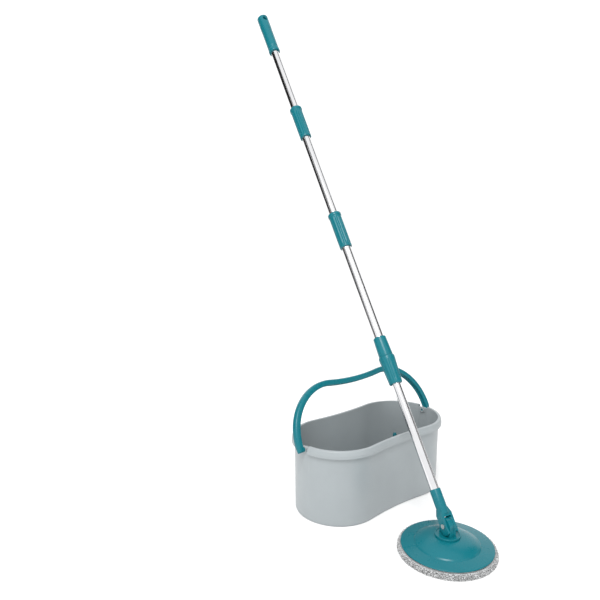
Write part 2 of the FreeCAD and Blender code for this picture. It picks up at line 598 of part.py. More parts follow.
turned("guide_ring", [
    ("clutch_radius - 1.15", "ring_bottom"), ("upper_tube_radius - tube_wall - 0.05", "ring_bottom"),
    ("upper_tube_radius - tube_wall - 0.05", "ring_top"), ("clutch_radius - 1.15", "ring_top"),
], HANDLE)


def make_drive_rod():
    """Flat steel strip twisted at a constant lead; at rest it lies square in the nut's slot."""
    low = number("rod_bottom")
    high = number("rod_top")
    lead = number("rod_lead")
    wide = number("rod_width") / 2
    thick = number("rod_thick") / 2
    turn = 360 * (low - number("nut_floor") - 1.1) / lead
    corners = [Vector(x, y, 0) for x, y in ((-wide, -thick), (wide, -thick), (wide, thick), (-wide, thick))]
    section = Part.makePolygon(corners + corners[:1])
    spine = Part.Wire([Part.makeLine(Vector(0, 0, 0), Vector(0, 0, high - low))])
    guide = Part.Wire(Part.makeHelix(lead, high - low, wide).Edges)
    sweep = Part.BRepOffsetAPI.MakePipeShell(spine)
    sweep.setAuxiliarySpine(guide, True, 0)
    sweep.add(section, False, False)
    sweep.build()
    sweep.makeSolid()
    strip = sweep.shape()
    strip.rotate(Vector(0, 0, 0), Vector(0, 0, 1), turn)
    strip.translate(Vector(0, 0, low))
    cross = Part.makeCylinder(number("plug_pin_radius") + 0.05, 40, Vector(0, -20, number("plug_pin_height")),
                              Vector(0, 1, 0))
    item = doc.addObject("Part::Feature", "drive_rod")
    item.Label = "drive_rod"
    item.Shape = strip.cut(cross)
    item.Placement = HANDLE
    NODES.append(item)


make_drive_rod()
plug = turned("rod_plug", [
    ("rod_room", "rod_top - 12"), ("upper_tube_radius - 0.8", "rod_top - 12"),
    ("upper_tube_radius - 0.8", "rod_top + 10"), ("0", "rod_top + 10"), ("0", "rod_top + 0.5"),
    ("rod_room", "rod_top + 0.5"),
], HANDLE)
cross_hole(plug, "pin_hole", "plug_pin_height", "plug_pin_radius + 0.02")
rod_pin = new_body("rod_pin", HANDLE)
cross = new_sketch(rod_pin, "shank", "XZ_Plane")
draw_circle(cross, "0", "plug_pin_height", "plug_pin_radius")
feature(rod_pin, "Pad", "shank_pad", cross, "upper_tube_radius + upper_tube_radius - 2", both_sides=True)

turned("guide_bush", [
    ("lower_tube_radius + 0.06", "tube3_bottom + 0.1"), ("upper_tube_radius - 0.75", "tube3_bottom + 0.1"),
    ("upper_tube_radius - 0.75", "lock_seam"), ("lower_tube_radius + 0.06", "lock_seam"),
], HANDLE)
turned("lock_sleeve", [
    ("upper_tube_radius + 0.05", "tube3_bottom + 4"), ("lock_neck_radius", "tube3_bottom + 4"),
    ("lock_neck_radius", "lock_seam + 0.3"), ("lock_sleeve_radius", "lock_seam + 0.3"),
    ("lock_sleeve_radius - 1.6", "lock_top - 2"), ("lock_sleeve_radius - 2.4", "lock_top"),
    ("upper_tube_radius + 0.05", "lock_top"),
], HANDLE)
turned("lock_ring", [
    ("lower_tube_radius + 0.35", "lock_bottom"), ("lock_ring_radius - 4.4", "lock_bottom"),
    ("lock_ring_radius - 3.4", "lock_bottom + 2"), ("lock_ring_radius", "lock_seam - 8"),
    ("lock_ring_radius", "lock_seam - 1.5"), ("lock_ring_radius - 1", "lock_seam"),
    ("lock_neck_radius + 0.35", "lock_seam"), ("lock_neck_radius + 0.35", "lock_bottom + 22"),
    ("lower_tube_radius + 1", "lock_bottom + 6"), ("lower_tube_radius + 0.35", "lock_bottom + 5"),
], HANDLE)
jaw = turned("lock_collet", [
    ("lower_tube_radius + 0.3", "lock_bottom + 12"), ("lower_tube_radius + 1.4", "lock_bottom + 12"),
    ("lock_neck_radius - 0.2", "lock_bottom + 26"), ("lock_neck_radius - 0.2", "tube3_bottom - 0.2"),
    ("lower_tube_radius + 0.3", "tube3_bottom - 0.2"),
], HANDLE)
split = new_sketch(jaw, "split", "XZ_Plane")
draw_box(split, "- 0.8", "0.8", "lock_bottom + 10", "tube3_bottom - 6")
feature(jaw, "Pocket", "split_cut", split, both_sides=True)


def coupling(number_text, tube_end, gap_end):
    """Outer sleeve and inner screwed plug that join two chromed tubes."""
    low = "coupling%s_bottom" % number_text
    high = "coupling%s_top" % number_text
    bore = "upper_tube_radius + 0.05"
    turned("coupling_%s" % number_text, [
        (bore, low), ("coupling_radius - 0.6", low), ("coupling_radius - 0.2", low + " + 2"),
        ("coupling_radius", high + " - 9"), ("coupling_radius + 1.4", high + " - 7.5"),
        ("coupling_radius + 1.4", high + " - 1.5"), ("coupling_radius + 0.6", high), (bore, high),
    ], HANDLE)
    turned("joint_plug_%s" % number_text, [
        ("0", tube_end + " - 18"), ("upper_tube_radius - 0.8", tube_end + " - 18"),
        ("upper_tube_radius - 0.8", tube_end + " + 0.1"), ("upper_tube_radius - 0.2", tube_end + " + 0.1"),
        ("upper_tube_radius - 0.2", gap_end + " - 0.1"), ("upper_tube_radius - 0.8", gap_end + " - 0.1"),
        ("upper_tube_radius - 0.8", gap_end + " + 22"), ("0", gap_end + " + 22"),
    ], HANDLE)


coupling("2", "tube3_top", "tube2_bottom")
coupling("1", "tube2_top", "tube1_bottom")


def make_grip():
    """Slim round hand grip, closed and rounded at the top, with a hole to hang the mop by."""
    grip = turned("grip", [
        ("upper_tube_radius + 0.05", "grip_bottom"), ("grip_radius - 0.6", "grip_bottom"),
        ("grip_radius", "grip_bottom + 2"), ("grip_radius", "grip_bottom + 8"),
        ("grip_radius - 0.8", "grip_bottom + 14"), ("grip_radius", "grip_top - 45"),
        ("grip_radius", "grip_top - 5"), ("grip_radius - 2", "grip_top - 1.5"),
        ("grip_radius - 5", "grip_top"), ("0", "grip_top"), ("0", "tube1_top + 6"),
        ("upper_tube_radius + 0.05", "tube1_top + 6"),
    ], HANDLE)
    cross_hole(grip, "hang_hole", "hang_hole_height", "hang_hole_radius")
    turned("grip_plug", [
        ("0", "tube1_top - 20"), ("upper_tube_radius - 0.8", "tube1_top - 20"),
        ("upper_tube_radius - 0.8", "tube1_top + 0.1"), ("upper_tube_radius - 0.1", "tube1_top + 0.1"),
        ("upper_tube_radius - 0.1", "tube1_top + 4"), ("0", "tube1_top + 4"),
    ], HANDLE)


make_grip()

# ---------------------------------------------------------------- check and write
doc.recompute()
faults = [item.Label for item in doc.Objects if "Invalid" in item.State or "Error" in item.State]
faults += [item.Label for item in NODES if item.Shape.isNull() or not item.Shape.isValid()]
if faults:
    raise RuntimeError("These objects did not build: " + ", ".join(faults))
os.makedirs("parts", exist_ok=True)
for item in NODES:
    item.Shape.exportStep("parts/%s.step" % item.Label)
    print(item.Label, round(item.Shape.Volume), len(item.Shape.Solids))
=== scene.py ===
"""Looks of the spin mop and its figure-eight bucket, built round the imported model."""
import math
import random

import bmesh
import bpy
from mathutils import Matrix, Vector
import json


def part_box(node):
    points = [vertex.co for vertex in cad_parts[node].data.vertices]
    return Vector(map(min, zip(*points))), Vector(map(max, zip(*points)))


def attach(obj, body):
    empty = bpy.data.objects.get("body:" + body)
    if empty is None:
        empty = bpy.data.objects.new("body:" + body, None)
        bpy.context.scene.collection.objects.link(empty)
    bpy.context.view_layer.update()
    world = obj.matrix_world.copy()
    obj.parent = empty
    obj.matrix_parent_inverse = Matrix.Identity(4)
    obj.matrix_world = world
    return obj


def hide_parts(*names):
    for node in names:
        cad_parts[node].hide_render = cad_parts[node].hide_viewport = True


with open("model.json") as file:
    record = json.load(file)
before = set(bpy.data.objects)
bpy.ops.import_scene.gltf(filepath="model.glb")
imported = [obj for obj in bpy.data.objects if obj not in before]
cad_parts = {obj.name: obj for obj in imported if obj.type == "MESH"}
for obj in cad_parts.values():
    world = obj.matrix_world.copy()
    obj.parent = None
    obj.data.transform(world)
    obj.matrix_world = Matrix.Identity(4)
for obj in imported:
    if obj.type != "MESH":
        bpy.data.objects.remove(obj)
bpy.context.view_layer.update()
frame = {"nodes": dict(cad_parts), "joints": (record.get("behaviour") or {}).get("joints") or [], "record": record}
NODES = frame["nodes"]
MM = 0.001
TURN = 2 * math.pi


# ---------------------------------------------------------------- places from the frame

def joint(name):
    """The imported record's entry for one joint."""
    return [entry for entry in frame["joints"] if entry["name"] == name][0]


def axes_at(origin, across, up):
    """A right-handed frame with its X along across and its Z along up."""
    across = Vector(across).normalized()
    up = Vector(up).normalized()
    matrix = Matrix((across, up.cross(across), up)).transposed().to_4x4()
    matrix.translation = Vector(origin)
    return matrix


HINGE = Vector(joint("head_tilt")["pos_m"])
HEAD = axes_at((HINGE.x, HINGE.y, 0), joint("head_tilt")["axis"], (0, 0, 1))
HANDLE = axes_at(HINGE, joint("head_tilt")["axis"], -Vector(joint("handle_press")["axis"]))
BAIL_LEAN = math.radians(26)
BAIL_PIVOT = Matrix.Translation(joint("bail_swing")["pos_m"])
PIVOT_HEIGHT = joint("bail_swing")["pos_m"][2] / MM
BAIL = BAIL_PIVOT @ Matrix.Rotation(-BAIL_LEAN, 4, "X")
SPINDLE_LOW, SPINDLE_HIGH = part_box("spindle_tip")
SPINDLE = Matrix.Translation(((SPINDLE_LOW.x + SPINDLE_HIGH.x) / 2, 0, 0))


# ---------------------------------------------------------------- materials

def node(tree, kind, **values):
    """A shader node with its input sockets set by name."""
    item = tree.nodes.new(kind)
    for key, value in values.items():
        item.inputs[key.replace("_", " ")].default_value = value
    return item


def new_material(name):
    """A material with a bare Principled shader, and its object-space coordinates."""
    material = bpy.data.materials.new(name)
    material.use_nodes = True
    tree = material.node_tree
    shader = tree.nodes["Principled BSDF"]
    place = tree.nodes.new("ShaderNodeTexCoord").outputs["Object"]
    return material, tree, shader, place


def noise(tree, place, scale, detail):
    """Noise of the given scale, per metre."""
    item = node(tree, "ShaderNodeTexNoise", Scale=scale, Detail=detail)
    tree.links.new(place, item.inputs["Vector"])
    return item.outputs["Fac"]


def ramp(tree, value, low, high, low_colour, high_colour):
    """Two colours, blended as value goes from low to high."""
    item = tree.nodes.new("ShaderNodeValToRGB")
    item.color_ramp.elements[0].position = low
    item.color_ramp.elements[1].position = high
    item.color_ramp.elements[0].color = (*low_colour, 1)
    item.color_ramp.elements[1].color = (*high_colour, 1)
    tree.links.new(value, item.inputs["Fac"])
    return item.outputs["Color"]


def spread(tree, value, low, high):
    """value, from 0 to 1, brought into the range from low to high."""
    item = node(tree, "ShaderNodeMapRange", To_Min=low, To_Max=high)
    tree.links.new(value, item.inputs["Value"])
    return item.outputs["Result"]


def blend_colours(tree, first, second, share):
    """A mix of two colour sockets; share is a number or a value socket."""
    item = tree.nodes.new("ShaderNodeMix")
    item.data_type = "RGBA"
    tree.links.new(first, item.inputs[6])
    tree.links.new(second, item.inputs[7])
    if isinstance(share, float):
        item.inputs[0].default_value = share
    else:
        tree.links.new(share, item.inputs[0])
    return item.outputs[2]


def bump(tree, shader, height, strength, distance):
    """Fine relief on the shader's normal; distance is in metres."""
    item = node(tree, "ShaderNodeBump", Strength=strength, Distance=distance)
    tree.links.new(height, item.inputs["Height"])
    tree.links.new(item.outputs["Normal"], shader.inputs["Normal"])


def scaled(colour, factor):
    """A colour made lighter or darker."""
    return tuple(min(1.0, part * factor) for part in colour)


def moulded_plastic(name, colour, rough_low, rough_high, grain, specular=0.5):
    """Injection-moulded plastic: flow clouds, fine spark-eroded grain and edges rubbed a little lighter."""
    material, tree, shader, place = new_material(name)
    clouds = ramp(tree, noise(tree, place, 14, 3), 0.3, 0.7, scaled(colour, 0.95), scaled(colour, 1.05))
    specks = ramp(tree, noise(tree, place, 900, 2), 0.35, 0.65, scaled(colour, 0.97), scaled(colour, 1.04))
    body = blend_colours(tree, clouds, specks, 0.4)
    geometry = tree.nodes.new("ShaderNodeNewGeometry")
    edge = node(tree, "ShaderNodeMapRange", From_Min=0.53, From_Max=0.62, To_Min=0.0, To_Max=0.35)
    tree.links.new(geometry.outputs["Pointiness"], edge.inputs["Value"])
    worn = ramp(tree, noise(tree, place, 60, 2), 0.4, 0.6, scaled(colour, 1.1), scaled(colour, 1.35))
    colour_out = blend_colours(tree, body, worn, edge.outputs["Result"])
    tree.links.new(colour_out, shader.inputs["Base Color"])
    tree.links.new(spread(tree, noise(tree, place, 45, 3), rough_low, rough_high), shader.inputs["Roughness"])
    bump(tree, shader, noise(tree, place, 1600, 2), grain, 0.00008)
    shader.inputs["Specular IOR Level"].default_value = specular
    return material


def chromed_steel(name):
    """Bright chrome with the finest ripple and a trace of handling haze."""
    material, tree, shader, place = new_material(name)
    haze = noise(tree, place, 22, 4)
    tint = ramp(tree, haze, 0.3, 0.75, (0.74, 0.74, 0.75), (0.66, 0.665, 0.68))
    tree.links.new(tint, shader.inputs["Base Color"])
    shader.inputs["Metallic"].default_value = 1.0
    tree.links.new(spread(tree, haze, 0.07, 0.17), shader.inputs["Roughness"])
    bump(tree, shader, noise(tree, place, 2600, 2), 0.05, 0.00003)
    return material


def plated_steel(name):
    """Zinc-plated steel for the screws, the pins and the twisted rod."""
    material, tree, shader, place = new_material(name)
    haze = noise(tree, place, 260, 3)
    tint = ramp(tree, haze, 0.3, 0.7, (0.50, 0.50, 0.49), (0.66, 0.66, 0.64))
    tree.links.new(tint, shader.inputs["Base Color"])
    shader.inputs["Metallic"].default_value = 1.0
    tree.links.new(spread(tree, haze, 0.24, 0.42), shader.inputs["Roughness"])
    bump(tree, shader, noise(tree, place, 1900, 2), 0.15, 0.00005)
    return material


def pile_yarn(name):
    """Microfibre yarn: white and grey strands with a few dark ones, soft and with a light sheen."""
    material, tree, shader, place = new_material(name)
    cells = node(tree, "ShaderNodeTexVoronoi", Scale=600.0)
    tree.links.new(place, cells.inputs["Vector"])
    pick = tree.nodes.new("ShaderNodeSeparateColor")
    tree.links.new(cells.outputs["Color"], pick.inputs["Color"])
    fleck = tree.nodes.new("ShaderNodeValToRGB")
    stops = ((0.0, 0.10), (0.07, 0.20), (0.22, 0.33), (0.50, 0.43), (0.80, 0.60))
    for index, (place_on_ramp, light) in enumerate(stops):
        stop = fleck.color_ramp.elements[index] if index < 2 else fleck.color_ramp.elements.new(place_on_ramp)
        stop.position = place_on_ramp
        stop.color = (light, light * 1.012, light * 1.02, 1)
    fleck.color_ramp.interpolation = "CONSTANT"
    tree.links.new(pick.outputs["Red"], fleck.inputs["Fac"])
    tree.links.new(fleck.outputs["Color"], shader.inputs["Base Color"])
    tree.links.new(spread(tree, noise(tree, place, 300, 2), 0.85, 0.98), shader.inputs["Roughness"])
    shader.inputs["Sheen Weight"].default_value = 0.35
    shader.inputs["Sheen Roughness"].default_value = 0.5
    shader.inputs["Specular IOR Level"].default_value = 0.15
    bump(tree, shader, noise(tree, place, 3200, 2), 0.6, 0.0003)
    return material


def woven_cloth(name, colour):
    """Plain woven backing cloth."""
    material, tree, shader, place = new_material(name)
    bands = []
    for direction in ("X", "Y"):
        wave = tree.nodes.new("ShaderNodeTexWave")
        wave.bands_direction = direction
        wave.inputs["Scale"].default_value = 520
        tree.links.new(place, wave.inputs["Vector"])
        bands.append(wave.outputs["Fac"])
    weave = tree.nodes.new("ShaderNodeMath")
    weave.operation = "MULTIPLY"
    tree.links.new(bands[0], weave.inputs[0])
    tree.links.new(bands[1], weave.inputs[1])
    tint = ramp(tree, weave.outputs["Value"], 0.0, 0.8, scaled(colour, 0.7), scaled(colour, 1.1))
    tree.links.new(tint, shader.inputs["Base Color"])
    shader.inputs["Roughness"].default_value = 0.9
    bump(tree, shader, weave.outputs["Value"], 0.5, 0.0002)
    return material


TEAL = moulded_plastic("teal_plastic", (0.002, 0.124, 0.154), 0.22, 0.34, 0.10, 0.28)
GREY = moulded_plastic("bucket_grey", (0.273, 0.300, 0.311), 0.32, 0.44, 0.12)
DARK = moulded_plastic("dark_plastic", (0.022, 0.024, 0.026), 0.36, 0.50, 0.14)
WHITE = moulded_plastic("white_plastic", (0.70, 0.71, 0.70), 0.32, 0.46, 0.10)
CHROME = chromed_steel("chromed_tube")
STEEL = plated_steel("plain_steel")
PILE = pile_yarn("microfibre")
CLOTH = woven_cloth("backing_cloth", (0.68, 0.69, 0.70))
HOOKS = woven_cloth("hook_tape", (0.06, 0.06, 0.065))
BY_SLOT = {
    "teal_plastic": TEAL, "bucket_grey": GREY, "dark_plastic": DARK, "white_plastic": WHITE,
    "chromed_tube": CHROME, "plain_steel": STEEL, "microfibre": PILE, "backing_cloth": CLOTH,
    "hook_tape": HOOKS,
}
SLOT_OF = {entry["node"]: entry["material_slot"] for entry in frame["record"]["subparts"]}
BODY_OF = {name: body for body, names in frame["record"]["behaviour"]["bodies"].items() for name in names}


def dress_cad_nodes():
    """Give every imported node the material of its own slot."""
    for name, item in NODES.items():
        item.data.materials.clear()
        item.data.materials.append(BY_SLOT[SLOT_OF[name]])


# ---------------------------------------------------------------- mesh helpers

def add_object(name, data):
    """A new object in the scene that holds the data."""
    item = bpy.data.objects.new(name, data)
    bpy.context.scene.collection.objects.link(item)
    return item


def mesh_data(name, mesh):
    """Mesh data made from a working mesh, which is freed."""
    data = bpy.data.meshes.new(name)
    mesh.to_mesh(data)
    mesh.free()
    return data


def shade_smooth(data, sharp):
    """Smooth shading, with edges over the sharp angle, in degrees, left hard."""
    data.polygons.foreach_set("use_smooth", [True] * len(data.polygons))
    data.set_sharp_from_angle(angle=math.radians(sharp))


def rounded(corners, steps=5):
    """Points of a polyline of (across, up, radius) corners; a corner without a radius stays sharp."""
    points = []
    for index, corner in enumerate(corners):
        here = Vector((corner[0], corner[1]))
        if len(corner) == 2:
            points.append(here)
            continue
        before = Vector(corners[index - 1][:2]) - here
        after = Vector(corners[(index + 1) % len(corners)][:2]) - here
        angle = before.angle(after)
        reach = corner[2] / math.tan(angle / 2)
        reach = min(reach, before.length * 0.49, after.length * 0.49)
        radius = reach * math.tan(angle / 2)
        middle = here + (before.normalized() + after.normalized()).normalized() * radius / math.sin(angle / 2)
        first = here + before.normalized() * reach - middle
        last = here + after.normalized() * reach - middle
        swing = first.angle_signed(last)
        for step in range(steps + 1):
            turned = first.copy()
            turned.rotate(Matrix.Rotation(-swing * step / steps, 2))
            points.append(middle + turned)
    return points


def join_loops(mesh, first, second):
    """Faces between two rings of vertices; either ring may be a single vertex."""
    count = max(len(first), len(second))
    for index in range(count):
        after = (index + 1) % count
        if len(first) == 1:
            mesh.faces.new((first[0], second[after], second[index]))
        elif len(second) == 1:
            mesh.faces.new((first[index], first[after], second[0]))
        else:
            mesh.faces.new((first[index], first[after], second[after], second[index]))


def add_lathe(mesh, profile, place, segments=96, ribs=None):
    """A closed profile of (radius, height) in mm turned about Z.

    ribs(angle, radius, height), where it is given, says how far the surface stands out from the profile.
    """
    rings = []
    for radius, height in profile:
        if radius < 1e-6:
            rings.append([mesh.verts.new(place @ Vector((0, 0, height * MM)))])
            continue
        ring = []
        for index in range(segments):
            angle = TURN * index / segments
            reach = (radius + (ribs(angle, radius, height) if ribs else 0)) * MM
            ring.append(mesh.verts.new(place @ Vector((reach * math.cos(angle), reach * math.sin(angle),
                                                       height * MM))))
        rings.append(ring)
    for index, ring in enumerate(rings):
        following = rings[(index + 1) % len(rings)]
        if len(ring) > 1 or len(following) > 1:
            join_loops(mesh, ring, following)


def add_loops(mesh, loops):
    """A skin through a list of closed loops of points, in metres, with flat ends."""
    rings = [[mesh.verts.new(point) for point in loop] for loop in loops]
    for first, second in zip(rings, rings[1:]):
        join_loops(mesh, first, second)
    mesh.faces.new(list(reversed(rings[0])))
    mesh.faces.new(rings[-1])


def finish_piece(name, mesh, material, body, replaced=(), sharp=35):
    """Turn the mesh into a piece that rides on its body and stands for the CAD nodes it replaces."""
    bmesh.ops.recalc_face_normals(mesh, faces=mesh.faces)
    data = mesh_data(name, mesh)
    shade_smooth(data, sharp)
    data.materials.append(material)
    piece = add_object(name, data)
    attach(piece, body)
    if replaced:
        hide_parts(*replaced)
    return piece


def piece_for(cad_node, name, mesh, sharp=35):
    """A piece that replaces one CAD node, with that node's body, slot and material."""
    slot = SLOT_OF[cad_node]
    return finish_piece(name, mesh, BY_SLOT[slot], BODY_OF[cad_node], (cad_node,), sharp)


def softened(cad_node, name, width):
    """A copy of a CAD node with its edges rounded, which stands for that node."""
    mesh = bmesh.new()
    mesh.from_mesh(NODES[cad_node].data)
    bmesh.ops.remove_doubles(mesh, verts=mesh.verts, dist=1e-6)
    bmesh.ops.dissolve_limit(mesh, angle_limit=math.radians(1), verts=mesh.verts, edges=mesh.edges)
    hard = math.radians(40)
    sharp = [edge for edge in mesh.edges if len(edge.link_faces) == 2 and edge.calc_face_angle() > hard]
    bmesh.ops.bevel(mesh, geom=sharp, offset=width * MM, segments=3, profile=0.5, affect="EDGES",
                    clamp_overlap=True)
    return piece_for(cad_node, name, mesh, 50)


# ---------------------------------------------------------------- bucket

BUCKET_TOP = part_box("bucket_shell")[1].z / MM
LOBE_CENTRE = 101.0
WALL_RADIUS = 98.0
CENTRES_APART = 786.0                # from a lobe's centre to the centre of a hollow side's arc
WALL_SLOPE = math.tan(math.radians(0.7))
WALL = 2.4
LIP_OUT = 9.0
LIP_LOW = 159.0
SEAT_RADIUS = 8.0                    # boss in the wall that the bail's pivot stub sits in
SEAT_START, SEAT_END = 197.0, 203.9
NOTCH_HALF = 15.0                    # notch in the lip that the bail's foot hangs in
NOTCH_START, NOTCH_END = 204.0, 216.0
NOTCH_UNDER_PIVOT = 9.5
RIM_NOTCH_START = 150.0
RIM_NOTCH_DEPTH = 5.0
ABOVE_RIM = 20.0                     # how far the cutting tools reach over the rim
STUB_RADIUS = 3.0
STUB_END = 194.5
STUB_GAP = 0.06


def figure_eight(offset, height):
    """The bucket's outline, moved out by offset: two lobes and two hollow sides, as points in metres."""
    lobe_steps, side_steps = 96, 28
    rise = math.sqrt(CENTRES_APART ** 2 - LOBE_CENTRE ** 2)
    opening = math.atan2(rise, -LOBE_CENTRE)
    points = []
    for side in (1, -1):
        lobe = WALL_RADIUS + offset
        for step in range(lobe_steps):
            angle = opening * (2 * step / lobe_steps - 1)
            points.append((side * (LOBE_CENTRE + lobe * math.cos(angle)), side * lobe * math.sin(angle)))
        neck = CENTRES_APART - WALL_RADIUS - offset
        for step in range(side_steps):
            angle = (opening - math.pi / 2) * (1 - 2 * step / side_steps)
            points.append((side * neck * math.sin(angle), side * (rise - neck * math.cos(angle))))
    return [Vector((across * MM, along * MM, height * MM)) for across, along in points]


def wall_at(height):
    """How far the tapered wall stands out from its foot at a height."""
    return WALL_SLOPE * height


def cut(piece, cutters, operation="DIFFERENCE"):
    """Boolean of the piece with temporary cutters, written into its mesh."""
    for cutter in cutters:
        change = piece.modifiers.new("cut", "BOOLEAN")
        change.operation = operation
        change.solver = "EXACT"
        change.object = cutter
    graph = bpy.context.evaluated_depsgraph_get()
    data = bpy.data.meshes.new_from_object(piece.evaluated_get(graph))
    piece.modifiers.clear()
    piece.data = data
    for cutter in cutters:
        bpy.data.objects.remove(cutter)


def temporary(mesh):
    """An object for a boolean, which isn't kept."""
    bmesh.ops.recalc_face_normals(mesh, faces=mesh.faces)
    return add_object("tool", mesh_data("tool", mesh))


def tool_box(low, high, edge):
    """A temporary box between two corners in mm, with its edges rounded."""
    mesh = bmesh.new()
    bmesh.ops.create_cube(mesh, size=1)
    middle = (Vector(low) + Vector(high)) / 2 * MM
    size = (Vector(high) - Vector(low)) * MM
    for vert in mesh.verts:
        vert.co = middle + Vector(vert.co[axis] * size[axis] for axis in range(3))
    bmesh.ops.bevel(mesh, geom=list(mesh.edges), offset=edge * MM, segments=4, profile=0.5,
                    affect="EDGES")
    return temporary(mesh)


def tool_round(radius, start, end):
    """A temporary round bar along X between two x places, at the bail's pivot."""
    mesh = bmesh.new()
    along_x = BAIL_PIVOT @ Matrix.Rotation(math.pi / 2, 4, "Y")
    add_lathe(mesh, [(0, start), (radius, start), (radius, end), (0, end)], along_x, 48)
    return temporary(mesh)


def make_bucket():
    """One moulded shell: foot ring, tapered wall, turned-down lip, bail seats and their rim notches."""
    top = BUCKET_TOP
    inner_top = wall_at(top) - WALL
    profile = rounded([
        (-12.0, 1.2), (-9.0, 1.2, 0.5), (-8.0, 0.0, 0.4), (0.0, 0.0, 5.0),
        (wall_at(top - WALL), top - WALL, 0.9), (LIP_OUT - WALL, top - WALL, 1.6),
        (LIP_OUT - WALL - 0.4, LIP_LOW, 0.5), (LIP_OUT, LIP_LOW, 0.7),
        (LIP_OUT, LIP_LOW + 7.0, 5.0), (LIP_OUT - 2.2, top, 3.2),
        (inner_top, top, 1.0), (-WALL, WALL, 4.0), (-14.0, WALL),
    ])
    mesh = bmesh.new()
    add_loops(mesh, [figure_eight(offset, height) for offset, height in profile])
    bucket = piece_for("bucket_shell", "bucket", mesh)
    seats = [tool_round(SEAT_RADIUS, side * SEAT_START, side * SEAT_END) for side in (1, -1)]
    cut(bucket, seats, "UNION")
    tools = []
    for side in (1, -1):
        near, far = sorted((side * NOTCH_START, side * NOTCH_END))
        tools.append(tool_box((near, -NOTCH_HALF, PIVOT_HEIGHT - NOTCH_UNDER_PIVOT),
                              (far, NOTCH_HALF, top + ABOVE_RIM), 0.8))
        near, far = sorted((side * RIM_NOTCH_START, side * NOTCH_END))
        tools.append(tool_box((near, -NOTCH_HALF, top - RIM_NOTCH_DEPTH),
                              (far, NOTCH_HALF, top + ABOVE_RIM), 1.8))
        tools.append(tool_round(STUB_RADIUS + STUB_GAP, side * (STUB_END - 4.5), side * (NOTCH_END - 1.0)))
    cut(bucket, tools)
    shade_smooth(bucket.data, 32)


def make_spindle_seat():
    """The low round step of the bucket's floor under the spindle."""
    boss = bmesh.new()
    add_lathe(boss, rounded([(0, 2.0), (35.0, 2.0), (33.5, 2.7, 1.2), (32.0, 8.0, 0.8), (0, 8.0)]), SPINDLE)
    finish_piece("bucket_spindle_seat", boss, GREY, "bucket")


# ---------------------------------------------------------------- bail

BAIL_ARC_CENTRE = 95.5
BAIL_ARC_RISE = 8.0
BAIL_ARC_RADIUS = 119.0
BAIL_CROWN_RADIUS = 600.0
BAIL_HALF_WIDTH = 8.0
BAIL_HALF_DEPTH = 7.0
BAIL_EYE_RADIUS = 6.0


def bail_route():
    """Points and outward directions along the bail's middle line, in its own plane, in mm."""
    leg_steps, arc_steps, crown_steps = 5, 48, 12
    crown = BAIL_ARC_RISE + math.sqrt((BAIL_ARC_RADIUS + BAIL_CROWN_RADIUS) ** 2 - BAIL_ARC_CENTRE ** 2)
    touch = math.atan2(crown - BAIL_ARC_RISE, -BAIL_ARC_CENTRE)
    half = []
    for step in range(leg_steps):
        half.append((BAIL_ARC_CENTRE + BAIL_ARC_RADIUS, BAIL_ARC_RISE * step / leg_steps, 1.0, 0.0))
    for step in range(arc_steps + 1):
        angle = touch * step / arc_steps
        half.append((BAIL_ARC_CENTRE + BAIL_ARC_RADIUS * math.cos(angle),
                     BAIL_ARC_RISE + BAIL_ARC_RADIUS * math.sin(angle), math.cos(angle), math.sin(angle)))
    dip = touch - math.pi / 2
    for step in range(1, crown_steps + 1):
        angle = dip * (1 - step / crown_steps)
        half.append((BAIL_CROWN_RADIUS * math.sin(angle), crown - BAIL_CROWN_RADIUS * math.cos(angle),
                     -math.sin(angle), math.cos(angle)))
    other = [(-x, z, -out_x, out_z) for x, z, out_x, out_z in reversed(half[:-1])]
    return half + other


def bail_section(half_width):
    """Rounded strap section: crowned outside, a shallow groove inside, as (side, outward) pairs."""
    groove = -BAIL_HALF_DEPTH + 1.3
    corners = [
        (half_width, -BAIL_HALF_DEPTH, 3.0), (half_width, BAIL_HALF_DEPTH, 5.0),
        (-half_width, BAIL_HALF_DEPTH, 5.0), (-half_width, -BAIL_HALF_DEPTH, 3.0),
        (-half_width * 0.42, -BAIL_HALF_DEPTH, 0.8), (-half_width * 0.3, groove, 0.6),
        (half_width * 0.3, groove, 0.6), (half_width * 0.42, -BAIL_HALF_DEPTH, 0.8),
    ]
    return rounded(corners, 4)


def make_bail():
    """The bail with its round eyes, the pads that bear on the bucket and the two pivot stubs."""
    strap = []
    for x, z, out_x, out_z in bail_route():
        taper = min(1.0, z / BAIL_ARC_RISE)
        strap.append((x, z, out_x, out_z, BAIL_EYE_RADIUS + (BAIL_HALF_WIDTH - BAIL_EYE_RADIUS) * taper))
    edge = BAIL_ARC_CENTRE + BAIL_ARC_RADIUS
    eye = []
    for step in range(1, 9):
        angle = math.pi / 2 * step / 8.3
        eye.append((edge, -BAIL_EYE_RADIUS * math.sin(angle), 1.0, 0.0, BAIL_EYE_RADIUS * math.cos(angle)))
    strap = list(reversed(eye)) + strap + [(-x, z, -1.0, 0.0, width) for x, z, _, _, width in eye]
    loops = []
    for x, z, out_x, out_z, half_width in strap:
        loops.append([BAIL @ Vector(((x + out * out_x) * MM, side * MM, (z + out * out_z) * MM))
                      for side, out in bail_section(max(half_width, 0.6))])
    mesh = bmesh.new()
    add_loops(mesh, loops)
    for side in (1, -1):
        along_x = BAIL @ Matrix.Rotation(side * math.pi / 2, 4, "Y")
        add_lathe(mesh, rounded([
            (0, STUB_END), (STUB_RADIUS, STUB_END, 0.8), (STUB_RADIUS, 204.3), (5.9, 204.3, 0.3),
            (5.9, 209.0), (0, 209.0),
        ], 3), along_x, 48)
    piece_for("bail_handle", "bail", mesh, 40)


# ---------------------------------------------------------------- spindle

POST_FOOT = 8.1
POST_BORE = 5.05
POST_TOP = 98.0


